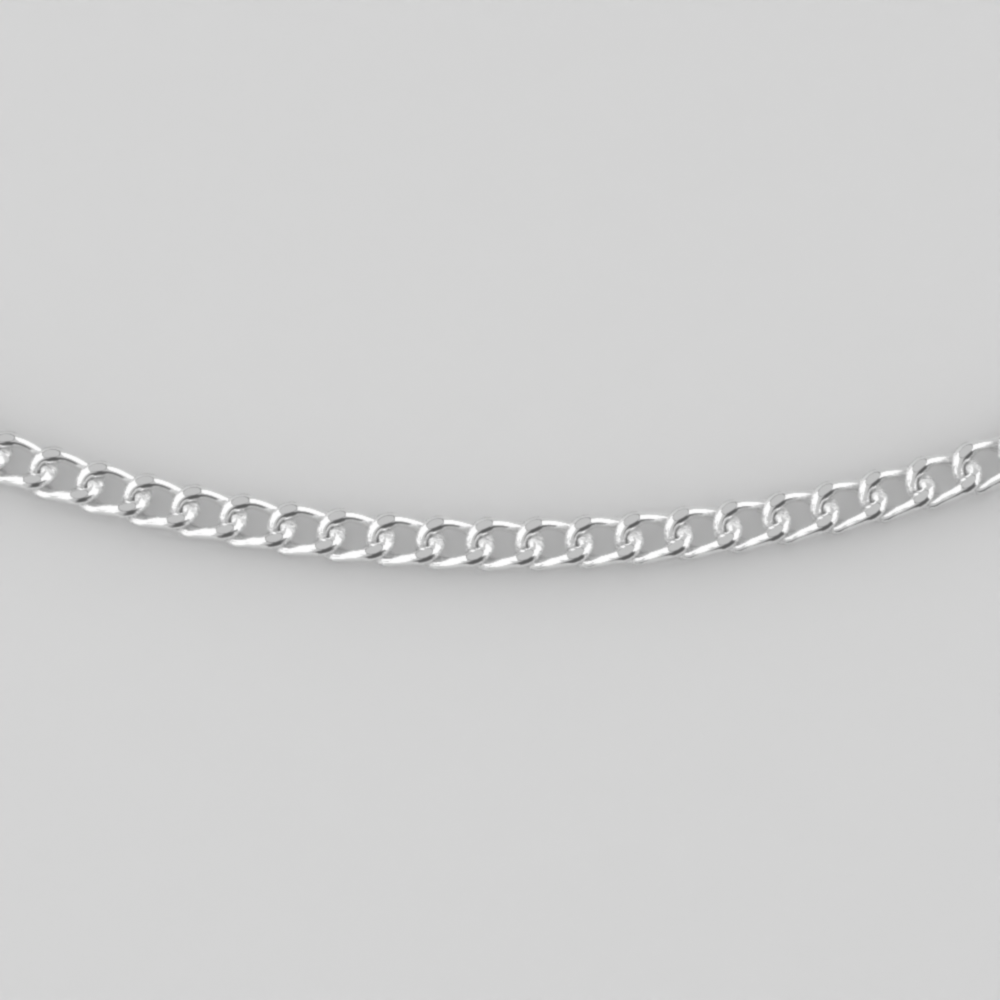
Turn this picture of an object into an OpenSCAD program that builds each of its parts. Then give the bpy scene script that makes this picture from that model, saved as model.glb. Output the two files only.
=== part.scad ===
// Fine curb chain necklace, closed into a loop and lying flat.
// All lengths are in millimetres. The chain lies on z = 0, its front at -Y and its fastening at +Y.

/* [Chain] */
// Diameter of the round wire that every link is bent from
wire_d = 0.6; // [0.45:0.05:0.75]
// Length of one link over its outside
link_l = 3.75; // [3:0.05:5]
// Width of one link over its outside, which is also the width of the chain
link_w = 2.5; // [2.1:0.05:3.2]
// How far the link's wire swings above and below its middle, which makes links lie over each other
saddle_h = 0.36; // [0.3:0.01:0.5]
// Depth ground flat off the top and the underside of the links
facet_cut = 0.075; // [0.03:0.005:0.12]
// How much closer two neighbouring links lie than when the chain is stretched tight
link_slack = 0.18; // [0.1:0.02:0.3]
// Number of links from one end of the chain to the other
link_n = 185; // [121:2:221]
// Width of the loop, left to right, as a share of its length, front to back
loop_share = 0.96; // [0.85:0.01:1]

/* [End links] */
// Height of the last link's inner tip above the middle of the chain, at each end
end_lift = 0.25; // [0.15:0.05:0.4]
// Space under the last link's outer tip for the wire of its ring, beyond the ring's thickness
link_clear = 0.5; // [0.4:0.05:0.6]
// Turn of the right end link about its own length, towards the clasp's low side
end_roll = 15; // [8:1:18]
// Gap between the chain and its last link at each end, as left by the other links' play
end_gap = 0.1; // [0.05:0.05:0.3]

/* [Clasp] */
// Outer diameter of the clasp's ring
clasp_d = 5.5; // [5:0.1:7]
// Thickness of the clasp's ring
clasp_wire_d = 0.8; // [0.7:0.05:1]
// Outer diameter of the small eye on the clasp
eye_d = 2.4; // [2.2:0.1:2.8]
// Thickness of the eye's wire
eye_wire_d = 0.6; // [0.5:0.05:0.7]
// Depth that the eye is soldered into the clasp's ring
eye_joint = 0.25; // [0.15:0.05:0.4]
// Slope of the clasp, which lies on the rings at its two ends
clasp_tilt = 10; // [6:1:12]
// Space under the clasp for the wire of the rings, beyond their thickness
clasp_clear = 0.15; // [0.1:0.05:0.3]
// Diameter of the thumb piece that opens the clasp
thumb_d = 0.6; // [0.5:0.05:0.8]
// How far the thumb piece stands out of the clasp's ring
thumb_l = 0.7; // [0.5:0.05:0.9]
// Direction of the thumb piece round the clasp, counted from the side away from the eye
thumb_angle = 45; // [30:1:45]

/* [Rings] */
// Thickness of both rings' wire
ring_wire_d = 0.6; // [0.5:0.05:0.7]
// Inner diameter of the ring between the clasp's eye and the left end link
clasp_ring_hole = 2; // [1.9:0.1:2.6]
// Inner diameter of the ring that the clasp closes on
end_ring_hole = 2.8; // [2.6:0.1:3.6]
// Lean of both rings from upright
ring_lean = 20; // [12:1:25]
// Space between the clasp's eye and the left end link, inside the clasp ring
left_room = 0.2; // [0.1:0.05:0.3]
// Space between the clasp's ring and the right end link, inside the end ring
right_room = 0.15; // [0.1:0.05:0.25]
// Share of the clasp ring's play that lies at the clasp's eye
left_share = 0.6; // [0.4:0.1:0.7]
// Share of the end ring's play that lies at the clasp's ring
right_share = 0.5; // [0.4:0.1:0.6]
// How far the clasp ring sits outside the middle line of the fastening
clasp_ring_side = 0.1; // [0.05:0.05:0.2]
// How far the end ring sits outside the middle line of the fastening
end_ring_side = 0.3; // [0.2:0.05:0.35]

/* [Hidden] */
SILVER = [0.86, 0.86, 0.85];
SMOOTH = 64;

// Chain sizes
chain_t = 2 * (saddle_h + wire_d / 2 - facet_cut);
pitch = link_l - 2 * wire_d - link_slack;
link_a = (link_l - wire_d) / 2;
link_b = (link_w - wire_d) / 2;
link_rings = 36;
wire_sides = 8;
// The chain's section has its corners cut where the links' round wire leaves them empty
corner = wire_d / 2;

// The fastening runs along X, with the middle of the clasp's ring as its zero
clasp_r = (clasp_d - clasp_wire_d) / 2;
eye_r = (eye_d - eye_wire_d) / 2;
clasp_ring_r = (clasp_ring_hole + ring_wire_d) / 2;
end_ring_r = (end_ring_hole + ring_wire_d) / 2;
clasp_z = ring_wire_d + clasp_clear + clasp_wire_d / 2;
eye_x = -((clasp_d + eye_d) / 2 - eye_joint);
eye_wire_x = eye_x - eye_r;

// An end link's inner tip lies on the chain and its outer tip on the wire of its ring
end_tip_z = ring_wire_d + link_clear + wire_d / 2;
end_slope = asin((end_tip_z - chain_t / 2 - end_lift) / (2 * link_a));
end_z = end_tip_z - link_a * sin(end_slope);
tip = link_a * cos(end_slope);

left_play = clasp_ring_hole - eye_wire_d - left_room - wire_d;
clasp_ring_x = eye_wire_x + eye_wire_d / 2 + left_share * left_play - clasp_ring_hole / 2;
left_x = eye_wire_x - eye_wire_d / 2 - left_room - wire_d / 2 - tip;
right_play = end_ring_hole - clasp_wire_d - right_room - wire_d;
end_ring_x = clasp_r - clasp_wire_d / 2 - right_share * right_play + end_ring_hole / 2;
right_x = clasp_r + clasp_wire_d / 2 + right_room + wire_d / 2 + tip;
fastening_l = right_x - left_x;
fastening_mid = (right_x + left_x) / 2;

// The loop is an ellipse whose way round is the chain and its fastening together
loop_round = (link_n - 1) * pitch + fastening_l;
function ellipse_factor(q) = PI * (3 * (1 + q) - sqrt((3 * q + 1) * (q + 3)));
half_l = loop_round / ellipse_factor(loop_share);
half_w = loop_share * half_l;
// The fastening crosses the back of the loop in a straight line
fastening_y = half_l * sqrt(1 - pow(fastening_l / 2 / half_w, 2));
back_reach = fastening_y + clasp_r * cos(clasp_tilt) + clasp_wire_d / 2;
front_reach = half_l + link_w / 2;
// The origin is under the middle of the whole necklace
loop_y = (front_reach - back_reach) / 2;

// The route runs anticlockwise seen from above, from the left end link round the front to the right one
route_n = 79;
end_reach = fastening_l / 2 + link_l / 2 + end_gap;
route_span = 180 - asin(end_reach / half_w);
function turn(i) = route_span * (2 * i / (route_n - 1) - 1);
function route_point(u) = [half_w * sin(u), loop_y - half_l * cos(u), chain_t / 2];
function route_side(u) = let(n = [half_l * sin(u), -half_w * cos(u), 0]) n / norm(n);

// Corners of the chain's section, sideways and upwards from its middle
chain_section = let(w = link_w / 2, h = chain_t / 2) [
    [w, -h + corner], [w, h - corner], [w - corner, h], [corner - w, h],
    [-w, h - corner], [-w, -h + corner], [corner - w, -h], [w - corner, -h]
];

// Sides of a sweep whose rings have k corners, closed end to end or capped
function sweep_sides(n, k, closed) = [
    for (i = [0 : (closed ? n - 1 : n - 2)], j = [0 : k - 1])
        [i * k + j, i * k + (j + 1) % k, ((i + 1) % n) * k + (j + 1) % k, ((i + 1) % n) * k + j]
];
function sweep_caps(n, k) = [
    [for (j = [0 : k - 1]) k - 1 - j],
    [for (j = [0 : k - 1]) (n - 1) * k + j]
];

// One link's middle line: an oval whose wire rises and falls twice, so that it is a saddle
function link_point(t) = [link_a * cos(t), link_b * sin(t), -saddle_h * sin(2 * t)];
function link_way(t) = let(d = [-link_a * sin(t), link_b * cos(t), -2 * saddle_h * cos(2 * t)]) d / norm(d);
function link_out(t) = let(d = link_way(t), o = cross(d, [0, 0, 1])) o / norm(o);

module chain() {
    points = [
        for (i = [0 : route_n - 1], c = chain_section)
            route_point(turn(i)) + c[0] * route_side(turn(i)) + [0, 0, c[1]]
    ];
    k = len(chain_section);
    color(SILVER)
        polyhedron(points, concat(sweep_sides(route_n, k, false), sweep_caps(route_n, k)));
}

module link() {
    step = 360 / link_rings;
    points = [
        for (i = [0 : link_rings - 1], j = [0 : wire_sides - 1])
            let(t = i * step, a = (j + 0.5) * 360 / wire_sides, o = link_out(t), u = cross(o, link_way(t)))
                link_point(t) + wire_d / 2 * (cos(a) * o + sin(a) * u)
    ];
    intersection() {
        polyhedron(points, sweep_sides(link_rings, wire_sides, true));
        cube([2 * link_l, 2 * link_w, chain_t], center = true);
    }
}

// Moves a piece of the fastening to its place across the back of the loop
module at_back(x, side, z) {
    translate([x - fastening_mid, loop_y + fastening_y + side, z])
        children();
}

module end_link_left() {
    color(SILVER)
        at_back(left_x, 0, end_z)
            rotate([0, -end_slope, 0])
                link();
}

module end_link_right() {
    color(SILVER)
        at_back(right_x, 0, end_z)
            rotate([-end_roll, 0, 0])
                rotate([0, end_slope, 0])
                    link();
}

module wire_ring(r, d) {
    rotate_extrude($fn = SMOOTH)
        translate([r, 0])
            circle(d = d, $fn = SMOOTH / 2);
}

module clasp() {
    color(SILVER)
        at_back(0, 0, clasp_z)
            rotate([-clasp_tilt, 0, 0]) {
                wire_ring(clasp_r, clasp_wire_d);
                translate([eye_x, 0, 0])
                    wire_ring(eye_r, eye_wire_d);
                rotate([0, 0, thumb_angle])
                    translate([clasp_r, 0, 0])
                        rotate([0, 90, 0])
                            cylinder(d = thumb_d, h = clasp_wire_d / 2 + thumb_l, $fn = SMOOTH / 2);
            }
}

// A ring stands on its rim and leans back from the middle line
module leaning_ring(x, side, r) {
    color(SILVER)
        at_back(x, side, r * cos(ring_lean) + ring_wire_d / 2)
            rotate([90 - ring_lean, 0, 0])
                wire_ring(r, ring_wire_d);
}

module clasp_ring() {
    leaning_ring(clasp_ring_x, clasp_ring_side, clasp_ring_r);
}

module end_ring() {
    leaning_ring(end_ring_x, end_ring_side, end_ring_r);
}

chain();
end_link_left();
end_link_right();
clasp();
clasp_ring();
end_ring();
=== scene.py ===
# Looks and light for a fine silver curb chain necklace that lies in a closed loop.
# Lengths are in metres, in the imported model's frame: +X right, +Y to the fastening, +Z up.
import math

import bmesh
import bpy
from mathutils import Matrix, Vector


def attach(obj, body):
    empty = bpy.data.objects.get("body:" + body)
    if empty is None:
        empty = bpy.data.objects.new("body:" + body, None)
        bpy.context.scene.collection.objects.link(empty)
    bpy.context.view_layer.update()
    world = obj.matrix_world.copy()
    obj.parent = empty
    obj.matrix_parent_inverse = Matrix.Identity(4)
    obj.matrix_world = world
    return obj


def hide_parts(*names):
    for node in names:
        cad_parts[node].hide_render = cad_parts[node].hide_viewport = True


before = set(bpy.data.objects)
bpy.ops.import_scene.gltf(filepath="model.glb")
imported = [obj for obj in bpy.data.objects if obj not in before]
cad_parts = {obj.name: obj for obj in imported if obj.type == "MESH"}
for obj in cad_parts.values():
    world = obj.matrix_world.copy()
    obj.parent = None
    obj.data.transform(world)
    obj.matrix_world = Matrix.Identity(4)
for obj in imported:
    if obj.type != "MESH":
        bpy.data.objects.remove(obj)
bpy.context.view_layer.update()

MM = 0.001

# The chain's sizes, as the CAD has them
WIRE = 0.6 * MM
LINK_LENGTH = 3.75 * MM
LINK_WIDTH = 2.5 * MM
SADDLE = 0.36 * MM
CHAIN_THICKNESS = 1.17 * MM
LINKS = 185
LOOP_HALF_WIDTH = 69.8046 * MM
LOOP_HALF_LENGTH = 72.7131 * MM
LOOP_MIDDLE_Y = -0.6043 * MM
END_LINK_X = 5.849 * MM
END_LINK_HEIGHT = 1.1175 * MM
END_LINK_SLOPE = math.radians(10.333)
RIGHT_END_ROLL = math.radians(15)

# How bending leaves a real link, beyond the CAD's plain one. A fullness of 2 is a plain ellipse.
CORNER_FULLNESS = 2.2
SADDLE_RAISED = 0.018 * MM
# How the twist of a link runs from end to end, and what brings its greatest height to 1
TWIST_TURN = 1.777
TWIST_HEIGHT = 1.365
# The middle line's direction is taken between points this angle before and after
TANGENT_STEP = 0.02
STEPS_ROUND_LINK = 48
SIDES_OF_WIRE = 22

# How the rolls leave the wire: half its width, the same on the link's inside, how far out the line of a bevel
# crosses the section's axes, how its edges are rounded, and how its cap differs from the width and the radius
PRESSED_HALF_WIDTH = 0.42 * MM
INNER_HALF_WIDTH = 0.37 * MM
BEVEL_REACH = 0.42 * MM
EDGE_ROUNDING = 0.02 * MM
CAP_WIDER = 1.15
CAP_LOWER = 0.93

# Where the rolls start to press and press fully, as shares of the twist's height,
# and where the seam and the ends start and are full, as shares of the link's half length
PRESSED_FROM, PRESSED_FULLY = 0.60, 0.94
SEAM_FROM, SEAM_FULLY = 0.86, 0.95
END_FROM, END_FULLY = 0.62, 0.82

# How far solder stands out of the wire at a link's seam. The first link's is filed back, as its neighbour turns in it.
SEAM_SWELLING = 0.15 * MM
FILED_SWELLING = 0.02 * MM
# The solder's share all round the wire, more of it on the link's inside, and how unevenly it lies
SOLDER_ALL_ROUND = 0.1
SOLDER_INSIDE = 0.55
SOLDER_UNEVENNESS = 0.8
LUMP_SIZE = 0.35 * MM
# It is piled up more the further it lies over the neighbour, between these two places across the link
PILE_FROM, PILE_FULLY = 0.15 * MM, -0.10 * MM
PILE_LEAST, PILE_MOST = 0.35, 2.1

# The polish misses the inside of the ends: from where to where on the section, whose inmost point is at 1
MISSED_FROM, MISSED_FULLY = -0.15, 0.45
# A neighbour's foot lies over the end without the seam, between these two places across the link: it rubs it matt, and
# its shade is painted there as grey
RUB_FROM, RUB_FULLY = 0.30 * MM, -0.20 * MM
RUB_MOST = 0.7

# The unshaded part's share of a ground face, in length and width. The rest is the painted line of shade round it.
CLEAN_SHARE = 0.91
# The least upward or downward part of a flat face's direction
FLATNESS = 0.9999

# How the links lie: the steps of the loop's route, and how far a link may turn from true about each of its axes
LOOP_STEPS = 1441
PLAY = math.radians(0.8)
PLAY_SHARES = (1.0, 0.6, 0.6)
PLAY_SEED = 4
# How far a link's underside reaches from its middle, which lifts it as it turns or slopes
HALF_FOOT_WIDTH = 0.9 * MM
HALF_FOOT_LENGTH = 1.5 * MM
SLOPING_FOOT = 1.1 * MM
# The links beside the first one lie this much nearer to it, less so for each one up to the last of the crowd
LAST_CROWDED = 12.0
CROWD_X = 0.05 * MM
CROWD_Y = 0.08 * MM

# Roughness of polished silver, what rubbing adds to it at most, and of silver that the polish missed
MIRROR = 0.07
RUBBED_MORE = 0.06
CHALKY = 0.5

# The first and last link of each run
LEFT_RUN = (1, 61)
FRONT_RUN = (62, 122)
RIGHT_RUN = (123, LINKS - 2)


def colour(code):
    """Turns an sRGB hex value into a linear colour with alpha."""
    parts = [int(code[i:i + 2], 16) / 255 for i in (1, 3, 5)]
    return tuple(p / 12.92 if p <= 0.04045 else ((p + 0.055) / 1.055) ** 2.4 for p in parts) + (1.0,)


def add(tree, kind, *inputs, **settings):
    """Adds a node with its settings. The inputs come in the node's order, or in one dict by name or place.

    Each input is a value, the output that feeds it, or a node whose first output feeds it.
    """
    node = tree.nodes.new(kind)
    for name, value in settings.items():
        setattr(node, name, value)
    by_place = inputs[0] if inputs and isinstance(inputs[0], dict) else dict(enumerate(inputs))
    for place, value in by_place.items():
        if isinstance(value, bpy.types.Node):
            value = value.outputs[0]
        if isinstance(value, bpy.types.NodeSocket):
            tree.links.new(value, node.inputs[place])
        else:
            node.inputs[place].default_value = value
    return node


def direction(azimuth, elevation):
    """A unit vector, with azimuth 0 towards the fastening and 90 to the right, both in degrees."""
    a, e = math.radians(azimuth), math.radians(elevation)
    return Vector((math.sin(a) * math.cos(e), math.cos(a) * math.cos(e), math.sin(e)))


# ---------------------------------------------------------------- materials

def metal(name):
    """A material with a metal shader, and its node tree and shader."""
    material = bpy.data.materials.new(name)
    material.use_nodes = True
    tree = material.node_tree
    shader = tree.nodes["Principled BSDF"]
    shader.inputs["Metallic"].default_value = 1.0
    return material, tree, shader


def make_link_silver():
    # Sterling silver wire, bent, soldered, rolled, ground flat and tumble polished.
    # The eye sees a near mirror with hairlines; the solder seam and the insides of the ends stay rough and white,
    # the end without the seam is rubbed matt and greyed by painted shade, and a painted dark line of shade runs round
    # each ground face.
    material, tree, shader = metal("sterling silver wire, rolled, ground and polished")
    place = add(tree, "ShaderNodeAttribute", attribute_name="link_place").outputs["Vector"]
    chance, matt, dull, rim = (add(tree, "ShaderNodeAttribute", attribute_name=name).outputs["Fac"]
                               for name in ("link_chance", "matt", "dull", "rim"))
    # Each link takes its own part of every pattern
    apart = add(tree, "ShaderNodeVectorMath", {0: (0.11, 0.07, 0.05), "Scale": chance}, operation="SCALE")
    own = add(tree, "ShaderNodeVectorMath", place, apart, operation="ADD")

    # Rough solder: crusts of about 0.17 mm, drawn out along the chain
    drawn_out = add(tree, "ShaderNodeMapping", {"Vector": own, "Rotation": (0.0, 0.0, 0.4), "Scale": (0.5, 1.2, 1.2)})
    grain = add(tree, "ShaderNodeTexNoise", {
        "Vector": drawn_out, "Scale": 1 / (0.17 * MM), "Detail": 3.0, "Distortion": 0.6})
    # Tumbling marks of about 0.01 mm, drawn at 0.06 mm so that they show
    slanted = add(tree, "ShaderNodeMapping", {"Vector": own, "Rotation": (0.0, 0.0, 0.6), "Scale": (0.3, 1.0, 1.0)})
    marks = add(tree, "ShaderNodeTexNoise", {"Vector": slanted, "Scale": 1 / (0.06 * MM), "Detail": 2.0})
    # Places that handling has rubbed, about 0.7 mm across
    worn = add(tree, "ShaderNodeTexNoise", {"Vector": own, "Scale": 1 / (0.7 * MM), "Detail": 2.0})

    polish = add(tree, "ShaderNodeMapRange", matt, 0.0, 1.0, MIRROR, CHALKY)
    rough = add(tree, "ShaderNodeMath", worn, RUBBED_MORE, polish, operation="MULTIPLY_ADD")
    tree.links.new(rough.outputs[0], shader.inputs["Roughness"])

    crusty = add(tree, "ShaderNodeMapRange", grain, 0.40, 0.55, 0.0, 1.0)
    crust = add(tree, "ShaderNodeMix", {0: crusty, 6: colour("#DCDCDC"), 7: colour("#FCFCFC")}, data_type="RGBA")
    clean = add(tree, "ShaderNodeMix", {0: matt, 6: colour("#F7F7F7"), 7: crust.outputs[2]}, data_type="RGBA")
    # Painted shade: the outside of the end without the seam is greyed where its neighbour lies over it
    greyed = add(tree, "ShaderNodeMix", {0: dull, 6: clean.outputs[2], 7: colour("#8A8A8A")}, data_type="RGBA")
    # Painted shade: a dark line round each ground face, unevenly strong
    left_in = add(tree, "ShaderNodeMapRange", worn, 0.35, 0.65, 0.5, 1.0)
    paste = add(tree, "ShaderNodeMath", rim, left_in, operation="MULTIPLY")
    tint = add(tree, "ShaderNodeMix", {0: paste, 6: greyed.outputs[2], 7: colour("#8E8E8E")}, data_type="RGBA")
    tree.links.new(tint.outputs[2], shader.inputs["Base Color"])

    # The pickled skin of matt silver throws light back like chalk
    bright = add(tree, "ShaderNodeMapRange", matt, 0.0, 1.0, 1.0, 0.2)
    tree.links.new(bright.outputs[0], shader.inputs["Metallic"])

    level = add(tree, "ShaderNodeMath", grain, 0.5, operation="SUBTRACT")
    crust_height = add(tree, "ShaderNodeMath", level, matt, operation="MULTIPLY")
    height = add(tree, "ShaderNodeMath", marks, 0.01, crust_height, operation="MULTIPLY_ADD")
    bump = add(tree, "ShaderNodeBump", {"Strength": 1.0, "Distance": 0.2 * MM, "Height": height})
    tree.links.new(bump.outputs[0], shader.inputs["Normal"])
    return material


def make_fastening_silver():
    # Sterling silver wire and tube, tumble polished: a mirror that fine rubbing has softened here and there.
    material, tree, shader = metal("sterling silver wire, tumble polished")
    here = add(tree, "ShaderNodeTexCoord").outputs["Object"]
    worn = add(tree, "ShaderNodeTexNoise", {"Vector": here, "Scale": 1 / (0.9 * MM), "Detail": 2.0})
    soft = add(tree, "ShaderNodeMapRange", worn, 0.35, 0.7, MIRROR, 0.17)
    tree.links.new(soft.outputs[0], shader.inputs["Roughness"])
    tint = add(tree, "ShaderNodeMix", {0: worn, 6: colour("#F8F8F8"), 7: colour("#EDEDED")}, data_type="RGBA")
    tree.links.new(tint.outputs[2], shader.inputs["Base Color"])
    # Tumbling marks of about 0.01 mm, drawn at 0.08 mm so that they show
    marks = add(tree, "ShaderNodeTexNoise", {"Vector": here, "Scale": 1 / (0.08 * MM), "Detail": 2.0})
    bump = add(tree, "ShaderNodeBump", {"Strength": 0.3, "Distance": 0.004 * MM, "Height": marks})
    tree.links.new(bump.outputs[0], shader.inputs["Normal"])
    return material


# ---------------------------------------------------------------- the chain's links

def bend_wire(tree, given):
    """Draws one link's middle line, and keeps on it what its wire needs to know.

    The line is a unit circle pulled into an oval with full corners, whose ends are twisted against each other.
    """
    circle = add(tree, "GeometryNodeCurvePrimitiveCircle", {"Resolution": given["Steps Round Link"], "Radius": 1.0})
    at = add(tree, "ShaderNodeSeparateXYZ", add(tree, "GeometryNodeInputPosition"))
    round_x, round_y = at.outputs[0], at.outputs[1]
    fullness = given["Corner Fullness"]

    def line_at(x, y):
        """The middle line's point in direction x, y of the circle, and its height as a share of the greatest."""
        powers = [add(tree, "ShaderNodeMath", add(tree, "ShaderNodeMath", way, operation="ABSOLUTE"), fullness,
                      operation="POWER") for way in (x, y)]
        both = add(tree, "ShaderNodeMath", *powers, operation="ADD")
        root = add(tree, "ShaderNodeMath", -1.0, fullness, operation="DIVIDE")
        far = add(tree, "ShaderNodeMath", both, root, operation="POWER")
        x = add(tree, "ShaderNodeMath", x, far, operation="MULTIPLY")
        y = add(tree, "ShaderNodeMath", y, far, operation="MULTIPLY")
        turn = add(tree, "ShaderNodeMath", x, TWIST_TURN, operation="MULTIPLY")
        tilt = add(tree, "ShaderNodeMath", turn, operation="SINE")
        fall = add(tree, "ShaderNodeMath", y, tilt, operation="MULTIPLY")
        height = add(tree, "ShaderNodeMath", fall, -TWIST_HEIGHT, operation="MULTIPLY")
        point = add(tree, "ShaderNodeCombineXYZ", *(
            add(tree, "ShaderNodeMath", share, given[size], operation="MULTIPLY")
            for share, size in ((x, "Link Half Length"), (y, "Link Half Width"), (height, "Saddle Height"))))
        return point, height

    def line_beyond(step):
        """The middle line's point a small angle further round."""
        x_of_x, y_of_x = (add(tree, "ShaderNodeMath", round_x, part, operation="MULTIPLY")
                          for part in (math.cos(step), math.sin(step)))
        x_of_y, y_of_y = (add(tree, "ShaderNodeMath", round_y, part, operation="MULTIPLY")
                          for part in (math.sin(step), math.cos(step)))
        return line_at(add(tree, "ShaderNodeMath", x_of_x, x_of_y, operation="SUBTRACT"),
                       add(tree, "ShaderNodeMath", y_of_y, y_of_x, operation="ADD"))[0]

    middle, twist = line_at(round_x, round_y)
    chord = add(tree, "ShaderNodeVectorMath", line_beyond(TANGENT_STEP), line_beyond(-TANGENT_STEP),
                operation="SUBTRACT")
    way = add(tree, "ShaderNodeVectorMath", chord, operation="NORMALIZE")
    across = add(tree, "ShaderNodeVectorMath", way, (0.0, 0.0, 1.0), operation="CROSS_PRODUCT")
    outward = add(tree, "ShaderNodeVectorMath", across, operation="NORMALIZE")
    upward = add(tree, "ShaderNodeVectorMath", outward, way, operation="CROSS_PRODUCT")
    steepness = add(tree, "ShaderNodeMath", twist, operation="ABSOLUTE")
    pressed = add(tree, "ShaderNodeMapRange", steepness, PRESSED_FROM, PRESSED_FULLY, 0.0, 1.0,
                  interpolation_type="SMOOTHSTEP")
    seam = add(tree, "ShaderNodeMapRange", round_x, SEAM_FROM, SEAM_FULLY, 0.0, 1.0,
               interpolation_type="SMOOTHSTEP")
    from_middle = add(tree, "ShaderNodeMath", round_x, operation="ABSOLUTE")
    end = add(tree, "ShaderNodeMapRange", from_middle, END_FROM, END_FULLY, 0.0, 1.0,
              interpolation_type="SMOOTHSTEP")
    line = circle
    for name, value, kind in (("middle", middle, "FLOAT_VECTOR"), ("outward", outward, "FLOAT_VECTOR"),
                              ("upward", upward, "FLOAT_VECTOR"), ("pressed", pressed, "FLOAT"),
                              ("seam", seam, "FLOAT"), ("end", end, "FLOAT")):
        line = add(tree, "GeometryNodeStoreNamedAttribute", {"Geometry": line, "Name": name, "Value": value},
                   data_type=kind, domain="POINT")
    return line


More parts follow.
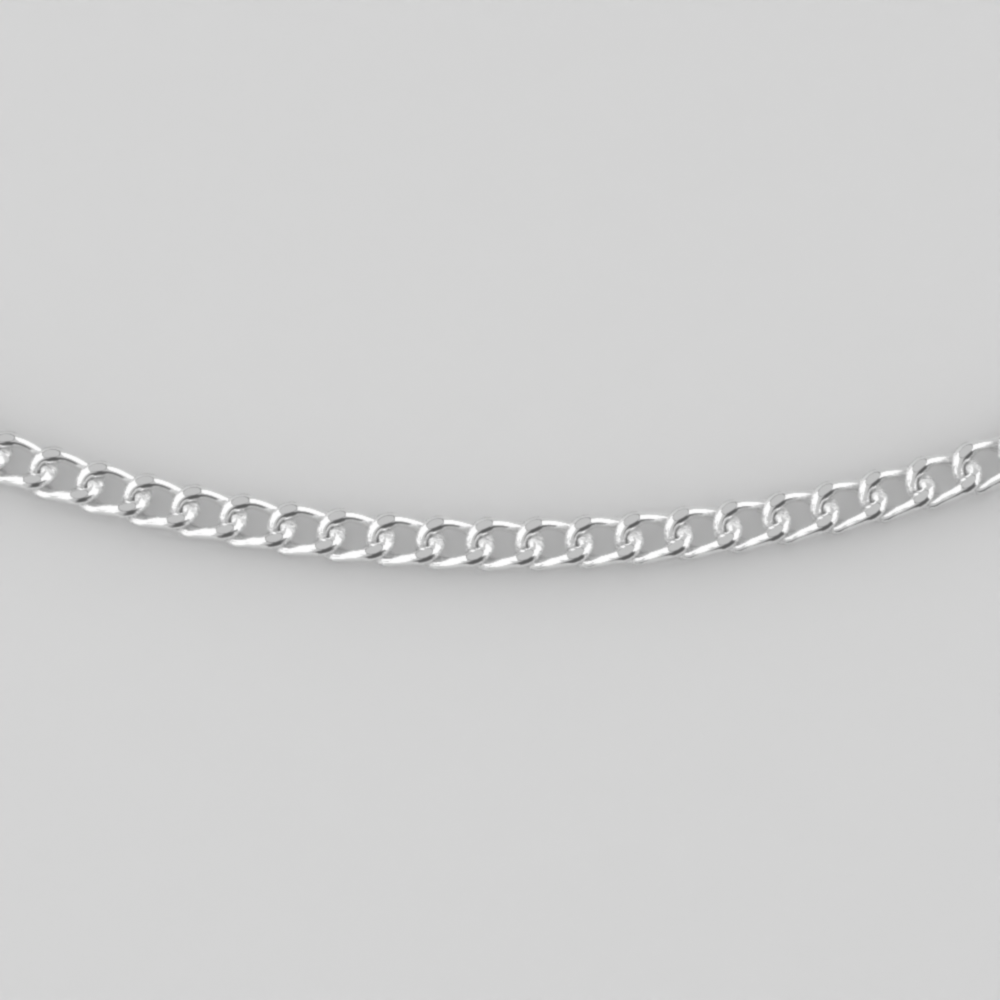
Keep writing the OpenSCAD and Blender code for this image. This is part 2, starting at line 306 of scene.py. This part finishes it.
def shape_wire(tree, given, line):
    """Gives the middle line its wire, with the rolls' marks, the solder seam, the finish of each place and where shade
    is painted on it.
    """
    circle = add(tree, "GeometryNodeCurvePrimitiveCircle", {"Resolution": given["Sides Of Wire"], "Radius": 1.0})
    ring = add(tree, "GeometryNodeStoreNamedAttribute", {
        "Geometry": circle, "Name": "section", "Value": add(tree, "GeometryNodeInputPosition")},
        data_type="FLOAT_VECTOR", domain="POINT")
    wire = add(tree, "GeometryNodeCurveToMesh", {"Curve": line, "Profile Curve": ring})
    middle, outward, upward, section = (
        add(tree, "GeometryNodeInputNamedAttribute", {"Name": name}, data_type="FLOAT_VECTOR").outputs[0]
        for name in ("middle", "outward", "upward", "section"))
    pressed, seam, end = (
        add(tree, "GeometryNodeInputNamedAttribute", {"Name": name}, data_type="FLOAT").outputs[0]
        for name in ("pressed", "seam", "end"))
    aside, above = add(tree, "ShaderNodeSeparateXYZ", section).outputs[:2]
    along, across, high = add(tree, "ShaderNodeSeparateXYZ", middle).outputs[:3]
    radius = add(tree, "ShaderNodeMath", given["Wire Thickness"], 0.5, operation="MULTIPLY")
    spread = given["Pressed Half Width"]

    def oval(half_width, half_height):
        """How far an oval section reaches in the direction aside, above."""
        squares = []
        for part, size in ((aside, half_width), (above, half_height)):
            share = add(tree, "ShaderNodeMath", part, size, operation="DIVIDE")
            share = add(tree, "ShaderNodeMath", share, operation="ABSOLUTE")
            squares.append(add(tree, "ShaderNodeMath", share, 2.0, operation="POWER"))
        total = add(tree, "ShaderNodeMath", *squares, operation="ADD")
        total = add(tree, "ShaderNodeMath", total, operation="SQRT")
        return add(tree, "ShaderNodeMath", 1.0, total, operation="DIVIDE")

    # The side that the rolls pressed: a low cap, with a bevel and an upright side on both sides of it
    size_aside = add(tree, "ShaderNodeMath", aside, operation="ABSOLUTE")
    size_above = add(tree, "ShaderNodeMath", above, operation="ABSOLUTE")
    slant = add(tree, "ShaderNodeMath", size_aside, size_above, operation="ADD")
    bevel = add(tree, "ShaderNodeMath", given["Bevel Reach"], slant, operation="DIVIDE")
    some_aside = add(tree, "ShaderNodeMath", size_aside, 0.01, operation="MAXIMUM")
    upright = add(tree, "ShaderNodeMath", spread, some_aside, operation="DIVIDE")
    cap = oval(add(tree, "ShaderNodeMath", spread, CAP_WIDER, operation="MULTIPLY"),
               add(tree, "ShaderNodeMath", radius, CAP_LOWER, operation="MULTIPLY"))
    top = add(tree, "ShaderNodeMath", cap, bevel, EDGE_ROUNDING, operation="SMOOTH_MIN")
    top = add(tree, "ShaderNodeMath", top, upright, EDGE_ROUNDING, operation="SMOOTH_MIN")

    # The other side only spreads, and less on the link's inside, where the neighbours hold it
    is_inner = add(tree, "ShaderNodeMath", aside, 0.0, operation="LESS_THAN")
    held_back = add(tree, "ShaderNodeMath", spread, given["Inner Half Width"], operation="SUBTRACT")
    held_back = add(tree, "ShaderNodeMath", is_inner, held_back, operation="MULTIPLY")
    under = oval(add(tree, "ShaderNodeMath", spread, held_back, operation="SUBTRACT"), radius)

    # Which of the two it is, where the wire was pressed at all
    outer_side = add(tree, "ShaderNodeMath", high, above, operation="MULTIPLY")
    is_face = add(tree, "ShaderNodeMath", outer_side, -1e-9, operation="GREATER_THAN")
    isnt_face = add(tree, "ShaderNodeMath", 1.0, is_face, operation="SUBTRACT")
    flattened = add(tree, "ShaderNodeMath", add(tree, "ShaderNodeMath", is_face, top, operation="MULTIPLY"),
                    add(tree, "ShaderNodeMath", isnt_face, under, operation="MULTIPLY"), operation="ADD")
    isnt_pressed = add(tree, "ShaderNodeMath", 1.0, pressed, operation="SUBTRACT")
    reach = add(tree, "ShaderNodeMath", add(tree, "ShaderNodeMath", flattened, pressed, operation="MULTIPLY"),
                add(tree, "ShaderNodeMath", radius, isnt_pressed, operation="MULTIPLY"), operation="ADD")

    # The solder seam swells the wire, most on the link's inside, and is piled up where it lies over its neighbour
    over = add(tree, "ShaderNodeMapRange", across, PILE_FROM, PILE_FULLY, PILE_LEAST, PILE_MOST,
               interpolation_type="SMOOTHSTEP")
    up_part = add(tree, "ShaderNodeMath", above, 0.0, operation="MAXIMUM")
    piled = add(tree, "ShaderNodeMath", up_part, over, operation="MULTIPLY")
    piled = add(tree, "ShaderNodeMath", SOLDER_INSIDE, piled, operation="ADD")
    inwards = add(tree, "ShaderNodeMath", aside, -1.0, operation="MULTIPLY")
    inner_part = add(tree, "ShaderNodeMath", inwards, 0.0, operation="MAXIMUM")
    piled = add(tree, "ShaderNodeMath", inner_part, piled, operation="MULTIPLY")
    solder = add(tree, "ShaderNodeMath", SOLDER_ALL_ROUND, piled, operation="ADD")
    out_by = add(tree, "ShaderNodeMath", radius, aside, operation="MULTIPLY")
    on_wire = add(tree, "ShaderNodeVectorMath", {0: outward, "Scale": out_by}, operation="SCALE")
    on_wire = add(tree, "ShaderNodeVectorMath", middle, on_wire, operation="ADD")
    lumps = add(tree, "ShaderNodeTexNoise", {"Vector": on_wire, "Scale": 1 / LUMP_SIZE, "Detail": 1.0},
                noise_dimensions="3D")
    uneven = add(tree, "ShaderNodeMath", lumps, 0.5, operation="SUBTRACT")
    uneven = add(tree, "ShaderNodeMath", uneven, SOLDER_UNEVENNESS, operation="MULTIPLY")
    uneven = add(tree, "ShaderNodeMath", 1.0, uneven, operation="ADD")
    solder = add(tree, "ShaderNodeMath", solder, uneven, operation="MULTIPLY")
    solder = add(tree, "ShaderNodeMath", seam, solder, operation="MULTIPLY")
    solder = add(tree, "ShaderNodeMath", solder, given["Seam Swelling"], operation="MULTIPLY")
    reach = add(tree, "ShaderNodeMath", reach, solder, operation="ADD")

    out_by = add(tree, "ShaderNodeMath", reach, aside, operation="MULTIPLY")
    up_by = add(tree, "ShaderNodeMath", reach, above, operation="MULTIPLY")
    skin = add(tree, "ShaderNodeVectorMath",
               add(tree, "ShaderNodeVectorMath", {0: outward, "Scale": out_by}, operation="SCALE"),
               add(tree, "ShaderNodeVectorMath", {0: upward, "Scale": up_by}, operation="SCALE"), operation="ADD")
    skin = add(tree, "ShaderNodeVectorMath", middle, skin, operation="ADD")
    wire = add(tree, "GeometryNodeSetPosition", {"Geometry": wire, "Position": skin})

    # Matt where the seam was soldered, and inside both ends, which the polish doesn't reach.
    # A neighbour's foot rubs on the end without the seam and leaves it matt, and its outside there is greyed as
    # painted shade from the neighbour that lies over it.
    inside = add(tree, "ShaderNodeMapRange", inwards, MISSED_FROM, MISSED_FULLY, 0.0, 1.0,
                 interpolation_type="SMOOTHSTEP")
    outside = add(tree, "ShaderNodeMath", 1.0, inside, operation="SUBTRACT")
    rubbed = add(tree, "ShaderNodeMapRange", across, RUB_FROM, RUB_FULLY, 0.0, RUB_MOST,
                 interpolation_type="SMOOTHSTEP")
    is_seamless = add(tree, "ShaderNodeMath", along, 0.0, operation="LESS_THAN")
    rubbed = add(tree, "ShaderNodeMath", rubbed, is_seamless, operation="MULTIPLY")
    unpolished = add(tree, "ShaderNodeMath", inside, rubbed, operation="MAXIMUM")
    unpolished = add(tree, "ShaderNodeMath", unpolished, end, operation="MULTIPLY")
    matt = add(tree, "ShaderNodeMath", seam, unpolished, operation="MAXIMUM")
    # Painted shade: how much that end's outside is greyed, where the neighbour lies over it
    dull = add(tree, "ShaderNodeMath", rubbed, end, operation="MULTIPLY")
    dull = add(tree, "ShaderNodeMath", dull, outside, operation="MULTIPLY")
    for name, value in (("matt", matt), ("dull", dull)):
        wire = add(tree, "GeometryNodeStoreNamedAttribute", {"Geometry": wire, "Name": name, "Value": value},
                   data_type="FLOAT", domain="POINT")
    return wire


def grind_faces(tree, given, wire):
    """Takes both faces of the link down to the chain's thickness, as the grinding wheel does, and marks them."""
    size = add(tree, "ShaderNodeCombineXYZ", 0.01, 0.01, given["Chain Thickness"])
    slab = add(tree, "GeometryNodeMeshCube", {"Size": size})
    ground = add(tree, "GeometryNodeMeshBoolean", operation="INTERSECT", solver="EXACT")
    for shape in (wire, slab):
        tree.links.new(shape.outputs[0], ground.inputs["Mesh 2"])
    upright = add(tree, "ShaderNodeSeparateXYZ", add(tree, "GeometryNodeInputNormal")).outputs[2]
    upright = add(tree, "ShaderNodeMath", upright, operation="ABSOLUTE")
    is_flat = add(tree, "ShaderNodeMath", upright, FLATNESS, operation="GREATER_THAN")
    faced = add(tree, "GeometryNodeStoreNamedAttribute", {
        "Geometry": ground, "Name": "ground_face", "Value": is_flat}, data_type="FLOAT", domain="FACE")

    # A narrow rim inside each ground face, where a dark line of shade is painted along the edge
    inset = add(tree, "GeometryNodeExtrudeMesh", {
        "Mesh": faced, "Selection": is_flat, "Offset Scale": 0.0, "Individual": True}, mode="FACES")
    faced = add(tree, "GeometryNodeScaleElements", {
        "Geometry": inset, "Selection": inset.outputs["Top"], "Scale": CLEAN_SHARE}, domain="FACE")
    faced = add(tree, "GeometryNodeStoreNamedAttribute", {
        "Geometry": faced, "Name": "rim", "Value": inset.outputs["Side"]}, data_type="FLOAT", domain="FACE")
    faced = add(tree, "GeometryNodeStoreNamedAttribute", {
        "Geometry": faced, "Selection": inset.outputs["Side"], "Name": "ground_face", "Value": 1.0},
        data_type="FLOAT", domain="FACE")
    for name in ("middle", "outward", "upward", "section", "pressed", "seam", "end"):
        faced = add(tree, "GeometryNodeRemoveAttribute", {"Geometry": faced, "Name": name})

    # An edge is crisp where only one of its two faces is ground, which makes their mean a half
    ground_share = add(tree, "GeometryNodeInputNamedAttribute", {"Name": "ground_face"}, data_type="FLOAT")
    is_edge = add(tree, "ShaderNodeMath", ground_share, 0.5, 0.3, operation="COMPARE")
    smooth = add(tree, "GeometryNodeSetShadeSmooth", {"Geometry": faced, "Shade Smooth": True}, domain="FACE")
    crisp = add(tree, "GeometryNodeSetShadeSmooth", {
        "Geometry": smooth, "Selection": is_edge, "Shade Smooth": False}, domain="EDGE")
    return add(tree, "GeometryNodeStoreNamedAttribute", {
        "Geometry": crisp, "Name": "link_place", "Value": add(tree, "GeometryNodeInputPosition")},
        data_type="FLOAT_VECTOR", domain="POINT")


def lay_along_loop(tree, given, link):
    """Lays the links along the loop, from the left end link round the front to the right one."""
    number = add(tree, "GeometryNodeInputIndex")
    angle = add(tree, "ShaderNodeMath", number, 2.0 / (LOOP_STEPS - 1), operation="MULTIPLY")
    angle = add(tree, "ShaderNodeMath", angle, 1.0, operation="SUBTRACT")
    angle = add(tree, "ShaderNodeMath", angle, given["Loop Reach"], operation="MULTIPLY")
    out_by = add(tree, "ShaderNodeMath", add(tree, "ShaderNodeMath", angle, operation="SINE"),
                 given["Loop Half Width"], operation="MULTIPLY")
    forward_by = add(tree, "ShaderNodeMath", add(tree, "ShaderNodeMath", angle, operation="COSINE"),
                     given["Loop Half Length"], operation="MULTIPLY")
    on_loop = add(tree, "ShaderNodeCombineXYZ", out_by,
                  add(tree, "ShaderNodeMath", given["Loop Middle"], forward_by, operation="SUBTRACT"),
                  add(tree, "ShaderNodeMath", given["Chain Thickness"], 0.5, operation="MULTIPLY"))
    route = add(tree, "GeometryNodeMeshLine", {"Count": LOOP_STEPS})
    route = add(tree, "GeometryNodeSetPosition", {"Geometry": route, "Position": on_loop})
    loop = add(tree, "GeometryNodeMeshToCurve", {"Mesh": route})
    spots = add(tree, "GeometryNodeCurveToPoints", {"Curve": loop, "Count": given["Link Count"]}, mode="COUNT")

    # How near a link is to its end of the chain: share is 1 at the end and 0 from where the rise begins
    last = add(tree, "ShaderNodeMath", given["Link Count"], 1.0, operation="SUBTRACT")
    from_last = add(tree, "ShaderNodeMath", last, number, operation="SUBTRACT")
    from_end = add(tree, "ShaderNodeMath", number, from_last, operation="MINIMUM")
    is_end = add(tree, "ShaderNodeMath", from_end, 0.5, operation="LESS_THAN")
    isnt_end = add(tree, "ShaderNodeMath", 1.0, is_end, operation="SUBTRACT")
    half_way = add(tree, "ShaderNodeMath", last, 0.5, operation="MULTIPLY")
    is_right = add(tree, "ShaderNodeMath", number, half_way, operation="GREATER_THAN")
    pitch = add(tree, "ShaderNodeMath", add(tree, "GeometryNodeCurveLength", loop), last, operation="DIVIDE")
    along = add(tree, "ShaderNodeMath", from_end, pitch, operation="MULTIPLY")
    steep = add(tree, "ShaderNodeMath", given["End Slope"], operation="TANGENT")
    reach = add(tree, "ShaderNodeMath", given["End Rise"], 2.0, operation="MULTIPLY")
    reach = add(tree, "ShaderNodeMath", reach, steep, operation="DIVIDE")
    left_over = add(tree, "ShaderNodeMath", reach, along, operation="SUBTRACT")
    left_over = add(tree, "ShaderNodeMath", left_over, 0.0, operation="MAXIMUM")
    share = add(tree, "ShaderNodeMath", left_over, reach, operation="DIVIDE")
    square = add(tree, "ShaderNodeMath", share, share, operation="MULTIPLY")
    gradient = add(tree, "ShaderNodeMath", share, steep, operation="MULTIPLY")

    # Each end rises in a smooth bend to the rings of the fastening, and the right one also rolls. A sloping link
    # rises at least so far that its low end stays on the surface.
    rise = add(tree, "ShaderNodeMath", add(tree, "ShaderNodeMath", square, given["End Rise"], operation="MULTIPLY"),
               add(tree, "ShaderNodeMath", gradient, SLOPING_FOOT, operation="MULTIPLY"), operation="MAXIMUM")
    slope = add(tree, "ShaderNodeMath", gradient, operation="ARCTANGENT")
    side = add(tree, "ShaderNodeMath", is_right, 2.0, operation="MULTIPLY")
    side = add(tree, "ShaderNodeMath", 1.0, side, operation="SUBTRACT")
    nod = add(tree, "ShaderNodeMath", slope, side, operation="MULTIPLY")
    roll = add(tree, "ShaderNodeMath", square, is_right, operation="MULTIPLY")
    roll = add(tree, "ShaderNodeMath", roll, given["Right End Roll"], operation="MULTIPLY")
    way = add(tree, "ShaderNodeMix", {"Factor": is_end, "A": spots.outputs["Tangent"], "B": (-1.0, 0.0, 0.0)},
              data_type="VECTOR")
    lies = add(tree, "FunctionNodeAlignRotationToVector", {"Vector": way.outputs[1]}, axis="X", pivot_axis="Z")

    # Every link lies a little differently, within the play of its neighbours; the end links are held by their rings
    play = add(tree, "ShaderNodeMath", given["Play"], isnt_end, operation="MULTIPLY")
    chance = add(tree, "FunctionNodeRandomValue", {
        "Min": [-share_of_play for share_of_play in PLAY_SHARES], "Max": PLAY_SHARES, "Seed": given["Seed"]},
        data_type="FLOAT_VECTOR")
    wobble = add(tree, "ShaderNodeVectorMath", {0: chance, "Scale": play}, operation="SCALE")
    for turn in (add(tree, "ShaderNodeCombineXYZ", {0: roll}), add(tree, "ShaderNodeCombineXYZ", {1: nod}), wobble):
        lies = add(tree, "FunctionNodeRotateRotation", {"Rotation": lies, "Rotate By": turn}, rotation_space="LOCAL")

    # A turned link is raised by as much as its ground underside would sink into the surface
    turn = add(tree, "ShaderNodeVectorMath", wobble, operation="ABSOLUTE")
    turn = add(tree, "ShaderNodeSeparateXYZ", turn).outputs
    sunk = add(tree, "ShaderNodeMath",
               add(tree, "ShaderNodeMath", turn[0], HALF_FOOT_WIDTH, operation="MULTIPLY"),
               add(tree, "ShaderNodeMath", turn[1], HALF_FOOT_LENGTH, operation="MULTIPLY"), operation="ADD")
    # The left end's links lie up against the first link, more so the nearer they are to it
    crowd = add(tree, "ShaderNodeMapRange", number, 1.0, LAST_CROWDED, 1.0, 0.0)
    crowd = add(tree, "ShaderNodeMath", crowd, isnt_end, operation="MULTIPLY")
    moved = add(tree, "ShaderNodeCombineXYZ",
                add(tree, "ShaderNodeMath", crowd, CROWD_X, operation="MULTIPLY"),
                add(tree, "ShaderNodeMath", crowd, CROWD_Y, operation="MULTIPLY"),
                add(tree, "ShaderNodeMath", rise, sunk, operation="ADD"))
    spots = add(tree, "GeometryNodeSetPosition", {"Geometry": spots, "Offset": moved})

    # Only the links of this piece, each with a number by chance for its pattern
    before = add(tree, "ShaderNodeMath", given["First Link"], 0.5, operation="SUBTRACT")
    after = add(tree, "ShaderNodeMath", given["Last Link"], 0.5, operation="ADD")
    picked = add(tree, "ShaderNodeMath", add(tree, "ShaderNodeMath", number, before, operation="GREATER_THAN"),
                 add(tree, "ShaderNodeMath", number, after, operation="LESS_THAN"), operation="MULTIPLY")
    laid = add(tree, "GeometryNodeInstanceOnPoints", {
        "Points": spots, "Selection": picked, "Instance": link, "Rotation": lies})
    next_seed = add(tree, "ShaderNodeMath", given["Seed"], 1.0, operation="ADD")
    own = add(tree, "FunctionNodeRandomValue", {"Seed": next_seed}, data_type="FLOAT")
    return add(tree, "GeometryNodeStoreNamedAttribute", {
        "Geometry": laid, "Name": "link_chance", "Value": own.outputs[1]}, data_type="FLOAT", domain="INSTANCE")


def make_link_tree():
    """Builds the Geometry Nodes tree that bends one link, grinds it flat and lays it along the loop."""
    tree = bpy.data.node_groups.new("curb links", "GeometryNodeTree")
    sizes = [
        ("Wire Thickness", "NodeSocketFloat", WIRE),
        ("Link Half Length", "NodeSocketFloat", (LINK_LENGTH - WIRE) / 2),
        ("Link Half Width", "NodeSocketFloat", (LINK_WIDTH - WIRE) / 2),
        ("Saddle Height", "NodeSocketFloat", SADDLE + SADDLE_RAISED),
        ("Corner Fullness", "NodeSocketFloat", CORNER_FULLNESS),
        ("Chain Thickness", "NodeSocketFloat", CHAIN_THICKNESS),
        ("Pressed Half Width", "NodeSocketFloat", PRESSED_HALF_WIDTH),
        ("Bevel Reach", "NodeSocketFloat", BEVEL_REACH),
        ("Inner Half Width", "NodeSocketFloat", INNER_HALF_WIDTH),
        ("Steps Round Link", "NodeSocketInt", STEPS_ROUND_LINK),
        ("Sides Of Wire", "NodeSocketInt", SIDES_OF_WIRE),
        ("Seam Swelling", "NodeSocketFloat", SEAM_SWELLING),
        ("Link Count", "NodeSocketInt", LINKS),
        ("First Link", "NodeSocketInt", 0),
        ("Last Link", "NodeSocketInt", LINKS - 1),
        ("Loop Half Width", "NodeSocketFloat", LOOP_HALF_WIDTH),
        ("Loop Half Length", "NodeSocketFloat", LOOP_HALF_LENGTH),
        ("Loop Middle", "NodeSocketFloat", LOOP_MIDDLE_Y),
        ("Loop Reach", "NodeSocketFloat", math.pi - math.asin(END_LINK_X / LOOP_HALF_WIDTH)),
        ("End Rise", "NodeSocketFloat", END_LINK_HEIGHT - CHAIN_THICKNESS / 2),
        ("End Slope", "NodeSocketFloat", END_LINK_SLOPE),
        ("Right End Roll", "NodeSocketFloat", RIGHT_END_ROLL),
        ("Play", "NodeSocketFloat", PLAY),
        ("Seed", "NodeSocketInt", PLAY_SEED),
        ("Material", "NodeSocketMaterial", None),
    ]
    tree.interface.new_socket("Geometry", in_out="OUTPUT", socket_type="NodeSocketGeometry")
    for name, kind, value in sizes:
        socket = tree.interface.new_socket(name, in_out="INPUT", socket_type=kind)
        if value is not None:
            socket.default_value = value
    given = add(tree, "NodeGroupInput").outputs
    wire = shape_wire(tree, given, bend_wire(tree, given))
    laid = lay_along_loop(tree, given, grind_faces(tree, given, wire))
    real = add(tree, "GeometryNodeRealizeInstances", {"Geometry": laid})
    finished = add(tree, "GeometryNodeSetMaterial", {"Geometry": real, "Material": given["Material"]})
    add(tree, "NodeGroupOutput", finished)
    return tree


def lay_links(tree, name, first, last, material, node, swelling=SEAM_SWELLING):
    """Makes one piece of chain from link number first to last, in place of a CAD node."""
    holder = bpy.data.objects.new(name + "_holder", bpy.data.meshes.new(name + "_holder"))
    bpy.context.scene.collection.objects.link(holder)
    modifier = holder.modifiers.new("links", "NODES")
    modifier.node_group = tree
    keys = {item.name: item.identifier for item in tree.interface.items_tree if item.in_out == "INPUT"}
    modifier[keys["First Link"]] = first
    modifier[keys["Last Link"]] = last
    modifier[keys["Material"]] = material
    modifier[keys["Seam Swelling"]] = swelling
    depsgraph = bpy.context.evaluated_depsgraph_get()
    mesh = bpy.data.meshes.new_from_object(holder.evaluated_get(depsgraph), depsgraph=depsgraph)
    mesh.name = name
    mesh.materials.clear()
    mesh.materials.append(material)
    mesh.polygons.foreach_set("material_index", [0] * len(mesh.polygons))
    bpy.data.objects.remove(holder)
    piece = bpy.data.objects.new(name, mesh)
    bpy.context.scene.collection.objects.link(piece)
    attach(piece, "root")
    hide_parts(node)


link_silver = make_link_silver()
link_tree = make_link_tree()
lay_links(link_tree, "first_link", 0, 0, link_silver, "end_link_left", FILED_SWELLING)
lay_links(link_tree, "last_link", LINKS - 1, LINKS - 1, link_silver, "end_link_right")
lay_links(link_tree, "left_run_of_links", *LEFT_RUN, link_silver, "chain")
lay_links(link_tree, "front_run_of_links", *FRONT_RUN, link_silver, "chain")
lay_links(link_tree, "right_run_of_links", *RIGHT_RUN, link_silver, "chain")


# ---------------------------------------------------------------- the fastening

def smooth_piece(name, node, material):
    """Makes a piece of a CAD node's own shape with its seams joined, so that its round wire is shaded smooth."""
    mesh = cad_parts[node].data.copy()
    mesh.name = name
    joined = bmesh.new()
    joined.from_mesh(mesh)
    bmesh.ops.remove_doubles(joined, verts=joined.verts, dist=0.0001 * MM)
    joined.to_mesh(mesh)
    joined.free()
    mesh.shade_smooth()
    mesh.set_sharp_from_angle(angle=math.radians(35))
    mesh.materials.clear()
    mesh.materials.append(material)
    piece = bpy.data.objects.new(name, mesh)
    bpy.context.scene.collection.objects.link(piece)
    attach(piece, "root")
    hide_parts(node)


fastening_silver = make_fastening_silver()
smooth_piece("round_clasp", "clasp", fastening_silver)
smooth_piece("small_ring_of_clasp", "clasp_ring", fastening_silver)
smooth_piece("ring_at_chain_end", "end_ring", fastening_silver)

# ---------------------------------------------------------------- floor, light and camera

scene = bpy.context.scene

bpy.ops.mesh.primitive_plane_add(size=12)
floor = bpy.context.object
floor.name = "floor"
# Pale stone, honed: no gloss, and light spreads 11 mm inside it, so that shadows on it have no hard edge
stone = bpy.data.materials.new("plain pale stone, honed")
stone.use_nodes = True
stone_shader = stone.node_tree.nodes["Principled BSDF"]
stone_shader.subsurface_method = "BURLEY"
for name, value in (("Base Color", colour("#D0D0D0")), ("Roughness", 0.6), ("Subsurface Weight", 1.0),
                    ("Subsurface Radius", (1.0, 1.0, 1.0)), ("Subsurface Scale", 11 * MM)):
    stone_shader.inputs[name].default_value = value
floor.data.materials.append(stone)

# The room: an even grey all round, as a white ceiling in soft light gives, and dark towards the camera's stand.
# The dark part fades out between two angles from its centre.
ROOM_BRIGHTNESS, SHADE_BRIGHTNESS = 0.56, 0.10
SHADE_CENTRE = direction(152, -22)
SHADE_INNER, SHADE_OUTER = math.radians(49), math.radians(59)
world = bpy.data.worlds.new("studio")
scene.world = world
world.use_nodes = True
room = world.node_tree
way = add(room, "ShaderNodeTexCoord").outputs["Generated"]
nearness = add(room, "ShaderNodeVectorMath", way, tuple(SHADE_CENTRE), operation="DOT_PRODUCT")
brightness = add(room, "ShaderNodeMapRange", nearness.outputs["Value"], math.cos(SHADE_OUTER), math.cos(SHADE_INNER),
                 ROOM_BRIGHTNESS, SHADE_BRIGHTNESS, interpolation_type="SMOOTHSTEP")
room.links.new(brightness.outputs[0], room.nodes["Background"].inputs["Strength"])
room.nodes["Background"].inputs["Color"].default_value = (1, 1, 1, 1)

FRONT_OF_CHAIN = Vector((0, -0.073, 0))
LAMP_DISTANCE = 1.0


def softbox(name, azimuth, elevation, width, height, strength):
    """A soft light aimed at the front of the chain. Azimuth 0 is over the fastening and 90 is to the right."""
    light = bpy.data.lights.new(name, "AREA")
    light.shape = "RECTANGLE"
    light.size, light.size_y = width, height
    # Power that gives the light's face this radiance
    light.energy = strength * math.pi * width * height
    lamp = bpy.data.objects.new(name, light)
    scene.collection.objects.link(lamp)
    toward = direction(azimuth, elevation)
    lamp.location = FRONT_OF_CHAIN + toward * LAMP_DISTANCE
    lamp.rotation_euler = toward.to_track_quat("Z", "Y").to_euler()
    lamp.visible_camera = False


softbox("right softbox", 79, 27, 0.95, 1.25, 1.4)
softbox("left softbox", 289, 38, 0.96, 1.16, 1.4)
softbox("overhead left softbox", 236, 60, 0.50, 0.36, 1.3)
softbox("near left softbox", 234, 20, 0.56, 0.60, 0.8)

scene.view_settings.view_transform = "Standard"

# The lens: bright reflections glow a little, and nothing is sharper than the lens draws it
scene.use_nodes = True
picture = scene.node_tree
picture.nodes.clear()
glow = add(picture, "CompositorNodeGlare", {
    "Image": add(picture, "CompositorNodeRLayers"), "Threshold": 1.0, "Clamp": True, "Maximum": 2.5,
    "Strength": 0.3, "Size": 0.2}, glare_type="BLOOM", quality="HIGH")
burnt = add(picture, "CompositorNodeMixRGB", 0.0, glow, use_clamp=True)
soft = add(picture, "CompositorNodeBlur", {"Image": burnt, "Size": (2.0, 2.0)}, filter_type="GAUSS")
add(picture, "CompositorNodeComposite", {"Image": soft})

# The camera looks down at 70 degrees from in front of the chain, and FIELD is what its picture takes in
FIELD = 47.75 * MM
DISTANCE = 300 * MM
SENSOR = 36
camera_data = bpy.data.cameras.new("camera")
camera = bpy.data.objects.new("camera", camera_data)
scene.collection.objects.link(camera)
bpy.context.scene.camera = camera
camera_data.sensor_width = SENSOR
camera_data.lens = SENSOR * DISTANCE / FIELD
camera_data.clip_start = 0.01
camera_data.clip_end = 50
elevation = math.radians(70)
target = Vector((-0.223, -71.074, 0.585)) * MM
back = Vector((0, -math.cos(elevation), math.sin(elevation)))
camera.location = target + back * DISTANCE
camera.rotation_euler = back.to_track_quat("Z", "Y").to_euler()

bpy.context.view_layer.update()
